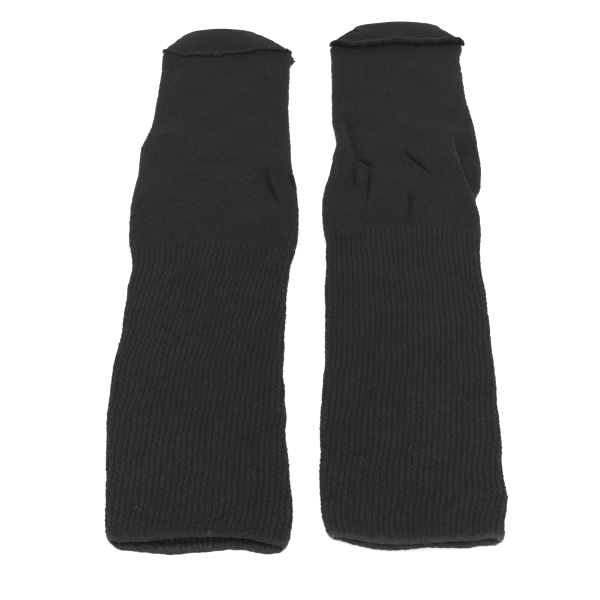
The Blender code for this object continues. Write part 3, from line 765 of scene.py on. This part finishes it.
def buildSock(sock, material):
    allKnots = np.arange(knotCount)
    shell = Shell()
    last = sock["sections"][-1]
    centre = np.array((sock["axis"] + last[1], knit["pairCuff"] + last[0],
                       last[3] * knit["tipRise"]))
    firstRing = None
    endKnots = allKnots[::knit["coarse"]]
    # The rounded end of the toe
    for t in knit["toeTurns"]:
        points, around, along, ribbed, tone = outerRing(sock, last[0], endKnots)[0]
        points = centre + (points - centre) * (math.sqrt(1 - t ** 1.6), 1.0,
                                               math.sqrt(1 - t ** 3))
        points[:, 1] = centre[1] + (sock["tip"] - last[0]) * t
        ring = shell.addRing(endKnots, points, around, along + 0.002 * t, ribbed, tone)
        firstRing = firstRing or ring
    shell.close(firstRing, centre + (0.0, sock["tip"] - last[0], 0.0), True)
    for station in reversed(outerStations(sock)):
        ring, sink, below = outerRing(sock, station, allKnots)
        if station <= sock["ribEnd"] + sock["ribArch"] + 0.0045:
            step = np.where(below, 18, 1)
        elif station <= knit["heelEnd"]:
            step = np.where(below, 6, np.where(np.abs(sink) > knit["plainSink"], 1, 2))
        else:
            step = np.where(below, 12, 3)
        keep = allKnots % step == 0
        shell.addRing(allKnots[keep], *(row[keep] for row in ring))
    # The turned lip, from the outside over to the inside
    outside = outerRing(sock, 0.0, endKnots)[0]
    inside = innerRing(sock, 0.0, endKnots)
    for turn in knit["lipTurns"]:
        angle = math.pi * turn
        share = (1 - math.cos(angle)) / 2
        points = outside[0] * (1 - share) + inside[0] * share
        points[:, 1] -= (knit["weltRoll"] + knit["hairy"] * hairs.standard_normal(len(points))
                         ) * math.sin(angle)
        under = 1 - ease(points[:, 2] / 0.0035)
        tone = outside[4] * (1 - share * under) + inside[4] * share * under
        shell.addRing(endKnots, points, outside[1], outside[2] - 0.003 * turn,
                      outside[3] * 0.0, tone)
    for station in innerStations(sock):
        if station <= knit["innerLegStart"] + 0.0001:
            knots = endKnots
        elif sock["ribEnd"] < station <= knit["heelEnd"]:
            knots = allKnots[::4]
        else:
            knots = allKnots[::6]
        ring = shell.addRing(knots, *innerRing(sock, station, knots))
    innerReach = sock["tip"] - knit["innerEnd"]
    innerTip = (sock["axis"] + sectionAt(sock, innerReach)[0],
                knit["pairCuff"] + innerReach + 0.0012, knit["wall"] + knit["leastGap"] / 2)
    shell.close(ring, innerTip, False)

    piece = startPiece(sock["name"], shell.points, shell.faces, shell.plans, material)
    addLayer(piece.data, "ribShare", shell.ribbed)
    addLayer(piece.data, "clothTone", shell.tone)
    piece.data.validate()
    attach(piece, "root")
    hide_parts(sock["node"])
    triangles = sum(len(face) - 2 for face in shell.faces)
    print("sock", sock["name"], "triangles", triangles)
    return piece


cotton = {
    "name": "ribKnitCombedCotton", "yarn": "#272727", "gap": "#060606", "lint": "#5e5e5d",
    "roughness": 0.92, "sheen": 0.14, "sheenRoughness": 0.35, "sheenTint": "#c9c9c9",
    "napSize": 0.0009,  # fibres that stand off the yarn
    "heatherSize": 0.0060, "patchSize": 0.055, "lintSpacing": 0.016,
    "lintSize": 0.026,  # as a share of the spacing
    "lintFree": 0.72,  # share of the places that have no lint
    "napHeight": 0.30, "bump": 0.00028,
    # painted shade: how deep a loop's is, how wide and dark the valley between wales, how unlike
    # the loops
    "legStitch": {"deep": 0.90, "valley": 0.28, "floor": 0.12, "uneven": 0.60},
    "footStitch": {"slope": 0.7, "deep": 0.75, "valley": 0.40, "floor": 0.0, "uneven": 0.55},
    # twist: painted light that makes one arm of each V paler than the other
    "twist": (0.28, 0.82), "lipBand": (-0.001, 0.003), "lipHeight": 0.62,
    "crisp": (2.4, 1.25),  # contrast of the knit, on the stretched heel and on the foot
    "middle": 0.60,
    # from low and high to least and most
    "depth": (0.05, 0.90, 0.16, 1.0), "heather": (0.3, 0.7, 0.84, 1.16),
    "nap": (0.3, 0.7, 0.50, 1.50), "loose": (0.38, 0.62, 0.25, 1.75),
    "patch": (0.35, 0.65, 0.95, 1.05), "mouthTone": (1.8, 3.0),
}


def stitchHeight(tree, plan, wale, course, slope, deep, valley, floor, uneven):
    # Height of the knit over its plan: each loop shows as two arms that meet in a V
    size = addNode(tree, "VectorMath", {0: plan, 1: (1 / wale, 1 / course, 1.0)},
                   operation="MULTIPLY")
    split = addNode(tree, "SeparateXYZ", {0: size.outputs[0]}).outputs
    off = sumNode(tree, "PINGPONG", split["X"], 0.5)
    phase = sumNode(tree, "MULTIPLY_ADD", off, 2 * slope, split["Y"])
    turn = sumNode(tree, "MULTIPLY_ADD", phase, math.tau, -math.tau * slope)
    arms = sumNode(tree, "MULTIPLY_ADD", sumNode(tree, "COSINE", turn), deep / 2, 1 - deep / 2)
    # Painted light: one arm of each V is painted paler than the other, as if lit from that side
    twist = sumNode(tree, "MULTIPLY_ADD", sumNode(tree, "FRACT", split["X"]), *cotton["twist"])
    # No two loops are drawn quite alike
    half = sumNode(tree, "FLOOR", sumNode(tree, "MULTIPLY", split["X"], 2.0))
    loop = sumNode(tree, "FLOOR", sumNode(tree, "ADD", phase, 0.5 - slope))
    number = addNode(tree, "CombineXYZ", {0: half, 1: loop}).outputs[0]
    chance = addNode(tree, "TexWhiteNoise", {"Vector": number},
                     noise_dimensions="2D").outputs["Value"]
    chance = sumNode(tree, "MULTIPLY_ADD", chance, uneven, 1 - uneven / 2)
    side = spreadNode(tree, off, -0.25 * valley, valley, floor, 1.0, "SMOOTHSTEP")
    for share in (twist, chance, side):
        arms = sumNode(tree, "MULTIPLY", arms, share)
    return arms


def makeCotton():
    # Combed cotton knitted on a circular machine: charcoal yarn, with painted shade between the
    # loops
    material, tree = startMaterial(cotton["name"])
    plan = addNode(tree, "UVMap", uv_map="knitPlan").outputs["UV"]
    place = addNode(tree, "TexCoord").outputs["Object"]
    ribbed = readLayer(tree, "ribShare")
    tone = readLayer(tree, "clothTone")
    leg = stitchHeight(tree, plan, knit["ribPitch"], knit["coursePitch"], knit["veeSlope"],
                       **cotton["legStitch"])
    foot = stitchHeight(tree, plan, knit["fineWale"], knit["fineCourse"], **cotton["footStitch"])
    # No wales show on the smooth turned lip
    along = addNode(tree, "SeparateXYZ", {0: plan}).outputs["Y"]
    smooth = spreadNode(tree, along, *cotton["lipBand"], kind="SMOOTHSTEP")
    foot = blendNode(tree, smooth, cotton["lipHeight"], foot)
    height = blendNode(tree, ribbed, foot, leg)
    # The rib's relief is in the mesh, so its painted shade changes less than the foot's
    crisp = spreadNode(tree, ribbed, -1.0, 0.0, *cotton["crisp"])
    crisp = blendNode(tree, ribbed, crisp, 1.0)
    deep = spreadNode(tree, height, *cotton["depth"])
    deep = sumNode(tree, "ADD", deep, -cotton["middle"])
    deep = sumNode(tree, "MULTIPLY_ADD", deep, crisp, cotton["middle"])
    # Painted shade: the yarn darkens to the gap colour between the loops
    yarn = blendColours(tree, deep, cotton["gap"], cotton["yarn"])
    nap = noiseNode(tree, place, cotton["napSize"], 3.0, 0.7)
    heather = noiseNode(tree, place, cotton["heatherSize"], 4.0, 0.65)
    patch = noiseNode(tree, place, cotton["patchSize"], 1.0, 0.5)
    change = spreadNode(tree, heather, *cotton["heather"])
    fibre = spreadNode(tree, nap, *cotton["nap"])
    fibre = blendNode(tree, sumNode(tree, "MULTIPLY", ribbed, 0.1), fibre, 1.0)
    # Inside the mouth, where painted light raises the tone, loose fibres speckle the cloth
    loose = spreadNode(tree, nap, *cotton["loose"])
    fibre = blendNode(tree, spreadNode(tree, tone, *cotton["mouthTone"]), fibre, loose)
    for share in (fibre, spreadNode(tree, patch, *cotton["patch"]), tone):
        change = sumNode(tree, "MULTIPLY", change, share)
    # A few specks of pale lint
    cells = addNode(tree, "TexVoronoi",
                    {"Vector": place, "Scale": 1 / cotton["lintSpacing"], "Randomness": 1.0})
    close = sumNode(tree, "LESS_THAN", cells.outputs["Distance"], cotton["lintSize"])
    picked = addNode(tree, "SeparateColor", {0: cells.outputs["Color"]}).outputs[0]
    speck = sumNode(tree, "MULTIPLY", close,
                    sumNode(tree, "GREATER_THAN", picked, cotton["lintFree"]))
    colour = blendColours(tree, speck, scaleColour(tree, yarn, change), cotton["lint"])
    finishFabric(tree, cotton, colour,
                 sumNode(tree, "MULTIPLY_ADD", nap, cotton["napHeight"], height))
    return material


cottonKnit = makeCotton()
leftCloth = buildSock(leftSock, cottonKnit)
rightCloth = buildSock(rightSock, cottonKnit)
print("socks built")


# The ridge seen from its end, from its near root to its far one. It lies over towards the toe:
# shares of its half thickness, and lean and height as shares of its height
ridgeProfile = (
    (-1.00, 0.00, 0.00), (-1.05, 0.02, 0.30), (-0.98, 0.05, 0.60), (-0.75, 0.10, 0.86),
    (-0.45, 0.18, 0.98), (0.00, 0.38, 1.02), (0.40, 0.62, 0.92), (0.75, 0.86, 0.70),
    (0.92, 0.98, 0.48), (1.00, 0.70, 0.28), (1.00, 0.35, 0.14), (1.00, 0.00, 0.00),
)

edging = {
    "name": "overlockedKnitEdge", "light": "#3e3e3e", "dark": "#0c0c0c", "grain": 0.0011,
    "roughness": 0.93, "sheen": 0.06, "sheenRoughness": 0.5, "sheenTint": "#ffffff",
    "bump": 0.0002,
}

polyester = {
    "name": "spunPolyesterThread", "light": "#363636", "dark": "#121212",
    "twist": 0.0007,  # one turn of the ply, drawn coarse enough to show
    "roughness": 0.80, "sheen": 0.06, "sheenRoughness": 0.5, "sheenTint": "#ffffff",
    "bump": 0.0002,
}

# The loose end of the left sock's seam thread, the tuft on it and a fine hair that lies beyond:
# thickness as a share of the thread's, then the points
tailPaths = metres((
    (4.2, ((-171, 1800, 66), (-160, 1801, 64), (-149, 1795, 56), (-141, 1783, 43),
           (-135, 1768, 30), (-131, 1755, 21))),
    (8.0, ((-131, 1764, 22), (-128, 1751, 18), (-127, 1738, 16), (-129, 1726, 14))),
    (6.0, ((-128, 1732, 13), (-130, 1720, 12), (-133, 1709, 12))),
    (3.6, ((-128, 1746, 13), (-119, 1740, 11), (-112, 1741, 10), (-106, 1745, 9))),
    (0.8, ((-124, 1755, 9), (-117, 1752, 6), (-91, 1758, 4), (-73, 1772, 5), (-60, 1782, 8))),
))


def follow(at, reach, rows):
    # Points or directions at places along a path
    return np.stack([np.interp(at, reach, rows[:, k]) for k in range(3)], axis=1)


def seamPath(sock, count):
    # Points, outward normals and heights along the seam, from the middle of one side fold
    # over the top to the other
    points = []
    normals = []
    heights = []
    for turn in range(count + 1):
        share = turn / count
        station = sock["seam"][0][1]
        for _ in range(4):
            line = outerLine(sock, station)
            lengths = runOf(np.hypot(*np.diff(line)))
            start = lengths[1 + 16] / lengths[-1]
            x, z, normalX, normalZ = walkLine(line, np.array(start + (1 - 2 * start) * share))
            across = x + sectionAt(sock, station)[0]
            station = readRows(sock["seam"], 1, across)
        station = station + sock["scallop"] * math.sin(
            math.tau * across / overlock["scallopLength"])
        height = readRows(sock["seam"], 2, across)
        height = height * (1 + overlock["swell"] * math.sin(
            math.tau * across / overlock["swellLength"]))
        height = height * (0.60 + 0.40 * float(ease(min(share, 1 - share) / overlock["endTaper"])))
        points.append((sock["axis"] + across, knit["pairCuff"] + station, float(z)))
        normals.append((float(normalX), 0.0, float(normalZ)))
        heights.append(float(height))
    return np.array(points), np.array(normals), np.array(heights)


def sweepRings(name, rings):
    # A filled circle is extruded once for each ring and set on its points
    bpy.ops.object.select_all(action="DESELECT")
    bpy.ops.mesh.primitive_circle_add(vertices=len(rings[0]), radius=0.001, fill_type="NGON")
    piece = bpy.context.object
    piece.name = name
    bpy.ops.object.mode_set(mode="EDIT")
    bpy.ops.mesh.select_all(action="SELECT")
    for number, ring in enumerate(rings):
        if number:
            bpy.ops.mesh.extrude_region_move()
        shape = bmesh.from_edit_mesh(piece.data)
        face = next(face for face in shape.faces if face.select)
        for vert, point in zip(face.verts, ring):
            vert.co = point
        bmesh.update_edit_mesh(piece.data)
    bpy.ops.mesh.select_all(action="SELECT")
    bpy.ops.mesh.normals_make_consistent(inside=False)
    bpy.ops.object.mode_set(mode="OBJECT")
    piece.location = (0.0, 0.0, 0.0)
    bpy.ops.object.shade_smooth()
    return piece


def makeThread(name, points, radius, material):
    # A closed tube along the points, with its own plan: once round it, and metres along it
    points = np.array(points)
    sides = overlock["threadSides"]
    ahead = np.gradient(points, axis=0)
    ahead /= np.linalg.norm(ahead, axis=1)[:, None]
    side = np.cross(ahead[0], (0.3, 0.5, 0.8))
    verts = []
    reach = 0.0
    places = []
    for i, point in enumerate(points):
        side = side - ahead[i] * np.dot(side, ahead[i])
        side /= np.linalg.norm(side)
        other = np.cross(ahead[i], side)
        if i:
            reach += np.linalg.norm(points[i] - points[i - 1])
        places.append(reach)
        for turn in range(sides):
            angle = math.tau * turn / sides
            verts.append(point + radius * (side * math.cos(angle) + other * math.sin(angle)))
    faces = []
    plans = []
    corners = ((0, 0), (1, 0), (1, 1), (0, 1))
    for i in range(len(points) - 1):
        for turn in range(sides):
            faces.append([(i + k) * sides + (turn + s) % sides for s, k in corners])
            plans += [((turn + s) / sides, places[i + k]) for s, k in corners]
    faces.append(tuple(reversed(range(sides))))
    faces.append(tuple(range(len(verts) - sides, len(verts))))
    plans += [(turn / sides, 0.0) for turn in reversed(range(sides))]
    plans += [(turn / sides, reach) for turn in range(sides)]
    return startPiece(name, [tuple(vert) for vert in verts], faces, plans, material)


def smoothPath(points, count):
    # Catmull-Rom curve through a few points
    points = np.array(points)
    at = np.linspace(0, len(points) - 1, count)
    first = np.minimum(at.astype(int), len(points) - 2)
    slope = np.gradient(points, axis=0)
    return curve((at - first)[:, None], points[first], slope[first],
                 points[first + 1], slope[first + 1])


def makeThreadFinish(values):
    # Cut knit edges or spun polyester thread: dull and hairy, with painted light where it stands
    # proud
    material, tree = startMaterial(values["name"])
    if "twist" in values:
        plan = addNode(tree, "UVMap", uv_map="knitPlan").outputs["UV"]
        split = addNode(tree, "SeparateXYZ", {0: plan}).outputs
        turn = sumNode(tree, "MULTIPLY_ADD", split["Y"], 1 / values["twist"], split["X"])
        height = sumNode(tree, "MULTIPLY", sumNode(tree, "PINGPONG", turn, 0.5), 2.0)
    else:
        place = addNode(tree, "TexCoord").outputs["Object"]
        height = noiseNode(tree, place, values["grain"], 4.0, 0.7)
    colour = blendColours(tree, height, values["dark"], values["light"])
    finishFabric(tree, values, scaleColour(tree, colour, readLayer(tree, "clothTone")), height)
    return material


def shadeRidge(mesh, sock, points, heights):
    # Painted shade: the near face of the ridge is darkened, as it lies in its own shade
    shade, reach = sock["ridgeShade"]
    places = np.empty(3 * len(mesh.vertices), dtype=np.float32)
    mesh.vertices.foreach_get("co", places)
    places = places.reshape(-1, 3)
    turn = np.argsort(points[:, 0])
    root = follow(places[:, 0], points[turn, 0], points[turn])
    high = np.interp(places[:, 0], points[turn, 0], heights[turn])
    rise = (places[:, 2] - root[:, 2] - overlock["gap"]) / high
    near = ease(0.5 - (places[:, 1] - root[:, 1]) / (2 * overlock["half"]) + 0.2 * rise)
    tone = sock["crestTone"] * (1 - shade * near * ease((reach + 0.2 - rise) / 0.3))
    addLayer(mesh, "clothTone", tone)


def buildSeam(sock, name, node, cloth, threadFinish, tails=()):
    random = np.random.default_rng(overlock["seed"])
    points, normals, heights = seamPath(sock, overlock["rings"])
    forward = np.array((0.0, 1.0, 0.0))
    lumps = 1 + overlock["lump"] * random.standard_normal(len(points))
    lumps = np.convolve(np.pad(lumps, 1, mode="edge"), (0.25, 0.5, 0.25), mode="valid")
    ragged = np.convolve(random.standard_normal(len(points) + 4), (0.5, 1.0, 1.0, 1.0, 0.5),
                         mode="valid")
    points[:, 1] += overlock["ragged"] * ragged
    rings = []
    for point, normal, height, lump in zip(points, normals, heights, lumps):
        rings.append([point + forward * (half * overlock["half"]
                                         + sock["ridgeLean"] * lean * height)
                      + normal * (overlock["gap"] + rise * height * lump)
                      for half, lean, rise in ridgeProfile])
    core = sweepRings(name, rings)
    core.data.materials.append(cloth)
    # One thread wraps the edges in slanted loops, and another zigzags along their crest
    lengths = runOf(np.linalg.norm(np.diff(points, axis=0), axis=1))
    turns = round(lengths[-1] / overlock["loopPitch"])
    count = turns * overlock["loopPoints"]
    stops = np.cumsum(1 + overlock["loopUneven"] * random.uniform(-1, 1, turns + 1))
    stops = (stops - stops[0]) / (stops[-1] - stops[0])
    at = (0.006 + 0.988 * np.interp(np.linspace(0, turns, count), np.arange(turns + 1), stops)
          ) * lengths[-1]
    base = follow(at, lengths, points)
    out = follow(at, lengths, normals)
    high = np.interp(at, lengths, heights)
    angle = math.tau * np.arange(count) / overlock["loopPoints"]
    jitter = np.interp(np.arange(count) / overlock["loopPoints"], np.arange(turns + 1),
                       1 + 0.16 * random.standard_normal(turns + 1))
    radius = overlock["threadRadius"]
    # Both follow the ridge's own outline, a thread's radius outside it
    half, lean, rise = (np.append(row, row[0]) for row in np.array(ridgeProfile).T)
    part = np.arange(len(half)) / (len(half) - 1)
    phase = (angle / math.tau) % 1.0
    half, lean, rise = (np.interp(phase, part, row) for row in (half, lean, rise))
    lean = lean * sock["ridgeLean"]
    wrap = (base + forward * ((half * overlock["half"] + lean * high) * jitter
                              + radius * np.sign(half))[:, None]
            + out * (overlock["gap"] + (high * rise * jitter + radius * (2 * rise - 1)))[:, None])
    sway = np.sin(angle * overlock["looperShare"] + 0.8)
    crest = (base + forward * (0.30 * sock["ridgeLean"] * high
                               + 0.45 * overlock["half"] * sway)[:, None]
             + out * (overlock["gap"] + high * (1.02 - 0.05 * sway) + radius)[:, None])
    threads = [makeThread(name + "Wrap", wrap, radius, threadFinish),
               makeThread(name + "Looper", crest[::2], radius, threadFinish)]
    for thickness, path in tails:
        threads.append(makeThread(name + "Tail", smoothPath(path, 6 * len(path)),
                                  radius * thickness, threadFinish))
    bpy.ops.object.select_all(action="DESELECT")
    for thing in [core] + threads:
        shadeRidge(thing.data, sock, points, heights)
        thing.select_set(True)
    bpy.context.view_layer.objects.active = core
    bpy.ops.object.join()
    core.name = name
    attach(core, "root")
    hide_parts(node)
    print("seam", name, "faces", len(core.data.polygons))
    return core


edgeFinish = makeThreadFinish(edging)
threadFinish = makeThreadFinish(polyester)
leftSeam = buildSeam(leftSock, "toeSeamLeft", "toe_seam_left", edgeFinish, threadFinish, tailPaths)
rightSeam = buildSeam(rightSock, "toeSeamRight", "toe_seam_right", edgeFinish, threadFinish)
print("toe seams built")
